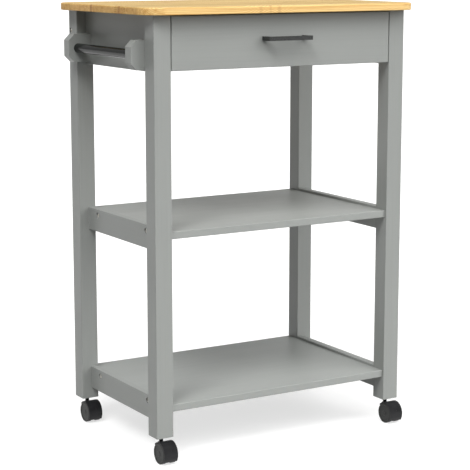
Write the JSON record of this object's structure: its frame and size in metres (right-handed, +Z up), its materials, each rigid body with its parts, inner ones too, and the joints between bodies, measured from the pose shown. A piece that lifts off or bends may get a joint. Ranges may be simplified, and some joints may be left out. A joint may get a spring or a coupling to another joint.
{
  "type": "kitchen island cart",
  "caption": "Wheeled kitchen cart with a rounded-corner wooden worktop on a painted square-leg frame, a drawer with a bow handle, open shelves, a side towel bar and swivel casters.",
  "frame": {"origin": "on the floor under the middle of the four legs", "axes": "+Z up, +X to the right as seen by someone facing the drawer, the drawer opens towards -Y, and the towel bar is on the -X side"},
  "size_m": [0.6055, 0.4025, 0.847],
  "materials": {
    "pine_worktop": "clear satin lacquer over edge-glued pine strips",
    "painted_wood": "satin light grey paint over solid pine",
    "bare_pine": "planed, unpainted",
    "plywood": "sanded, unpainted",
    "dowel_beech": "fluted beech",
    "black_metal": "semi-gloss black powder coat",
    "zinc_steel": "zinc plated",
    "caster_plastic": "moulded black nylon",
    "wheel_plastic": "moulded dark grey nylon"
  },
  "bodies": {
    "frame": {"apron_back": "painted_wood", "apron_bolts": "zinc_steel", "apron_left": "painted_wood", "apron_right": "painted_wood", "barrel_nuts": "zinc_steel", "caster_back_left_stem": "black_metal", "caster_back_right_stem": "black_metal", "caster_front_left_stem": "black_metal", "caster_front_right_stem": "black_metal", "caster_sleeves": "zinc_steel", "drawer_runner_left": "bare_pine", "drawer_runner_right": "bare_pine", "drawer_runner_screws": "zinc_steel", "leg_back_left": "painted_wood", "leg_back_right": "painted_wood", "leg_front_left": "painted_wood", "leg_front_right": "painted_wood", "lower_shelf": "painted_wood", "lower_shelf_rail_left": "painted_wood", "lower_shelf_rail_right": "painted_wood", "middle_shelf": "painted_wood", "middle_shelf_rail_left": "painted_wood", "middle_shelf_rail_right": "painted_wood", "shelf_screws": "zinc_steel", "side_frame_dowels": "dowel_beech", "towel_bar": "black_metal", "towel_bracket_back": "painted_wood", "towel_bracket_front": "painted_wood", "towel_bracket_screws": "zinc_steel", "worktop": "pine_worktop", "worktop_angle_screws": "zinc_steel", "worktop_angles": "zinc_steel"},
    "drawer": {"drawer_back": "bare_pine", "drawer_base": "plywood", "drawer_dowels": "dowel_beech", "drawer_front": "painted_wood", "drawer_handle": "black_metal", "drawer_side_left": "bare_pine", "drawer_side_right": "bare_pine", "handle_screws": "zinc_steel"},
    "caster_front_left": {"caster_front_left_housing": "caster_plastic", "caster_front_left_axle": "zinc_steel"},
    "wheel_front_left_left": {"caster_front_left_wheel_left": "wheel_plastic"},
    "wheel_front_left_right": {"caster_front_left_wheel_right": "wheel_plastic"},
    "caster_front_right": {"caster_front_right_housing": "caster_plastic", "caster_front_right_axle": "zinc_steel"},
    "wheel_front_right_left": {"caster_front_right_wheel_left": "wheel_plastic"},
    "wheel_front_right_right": {"caster_front_right_wheel_right": "wheel_plastic"},
    "caster_back_left": {"caster_back_left_housing": "caster_plastic", "caster_back_left_axle": "zinc_steel"},
    "wheel_back_left_left": {"caster_back_left_wheel_left": "wheel_plastic"},
    "wheel_back_left_right": {"caster_back_left_wheel_right": "wheel_plastic"},
    "caster_back_right": {"caster_back_right_housing": "caster_plastic", "caster_back_right_axle": "zinc_steel"},
    "wheel_back_right_left": {"caster_back_right_wheel_left": "wheel_plastic"},
    "wheel_back_right_right": {"caster_back_right_wheel_right": "wheel_plastic"}
  },
  "joints": [
    {"name": "drawer_slide", "type": "slide", "parent": "frame", "child": "drawer", "axis": [0, -1, 0], "range_m": [0, 0.22]},
    {"name": "swivel_front_left", "type": "hinge", "parent": "frame", "child": "caster_front_left", "pos_m": [-0.26, -0.16, 0.036], "axis": [0, 0, 1], "continuous": true},
    {"name": "roll_front_left_left", "type": "hinge", "parent": "caster_front_left", "child": "wheel_front_left_left", "pos_m": [-0.27, -0.178, 0.02], "axis": [1, 0, 0], "continuous": true},
    {"name": "roll_front_left_right", "type": "hinge", "parent": "caster_front_left", "child": "wheel_front_left_right", "pos_m": [-0.25, -0.178, 0.02], "axis": [1, 0, 0], "continuous": true},
    {"name": "swivel_front_right", "type": "hinge", "parent": "frame", "child": "caster_front_right", "pos_m": [0.26, -0.16, 0.036], "axis": [0, 0, 1], "continuous": true},
    {"name": "roll_front_right_left", "type": "hinge", "parent": "caster_front_right", "child": "wheel_front_right_left", "pos_m": [0.25, -0.178, 0.02], "axis": [1, 0, 0], "continuous": true},
    {"name": "roll_front_right_right", "type": "hinge", "parent": "caster_front_right", "child": "wheel_front_right_right", "pos_m": [0.27, -0.178, 0.02], "axis": [1, 0, 0], "continuous": true},
    {"name": "swivel_back_left", "type": "hinge", "parent": "frame", "child": "caster_back_left", "pos_m": [-0.26, 0.16, 0.036], "axis": [0, 0, 1], "continuous": true},
    {"name": "roll_back_left_left", "type": "hinge", "parent": "caster_back_left", "child": "wheel_back_left_left", "pos_m": [-0.27, 0.142, 0.02], "axis": [1, 0, 0], "continuous": true},
    {"name": "roll_back_left_right", "type": "hinge", "parent": "caster_back_left", "child": "wheel_back_left_right", "pos_m": [-0.25, 0.142, 0.02], "axis": [1, 0, 0], "continuous": true},
    {"name": "swivel_back_right", "type": "hinge", "parent": "frame", "child": "caster_back_right", "pos_m": [0.26, 0.16, 0.036], "axis": [0, 0, 1], "continuous": true},
    {"name": "roll_back_right_left", "type": "hinge", "parent": "caster_back_right", "child": "wheel_back_right_left", "pos_m": [0.25, 0.142, 0.02], "axis": [1, 0, 0], "continuous": true},
    {"name": "roll_back_right_right", "type": "hinge", "parent": "caster_back_right", "child": "wheel_back_right_right", "pos_m": [0.27, 0.142, 0.02], "axis": [1, 0, 0], "continuous": true}
  ]
}
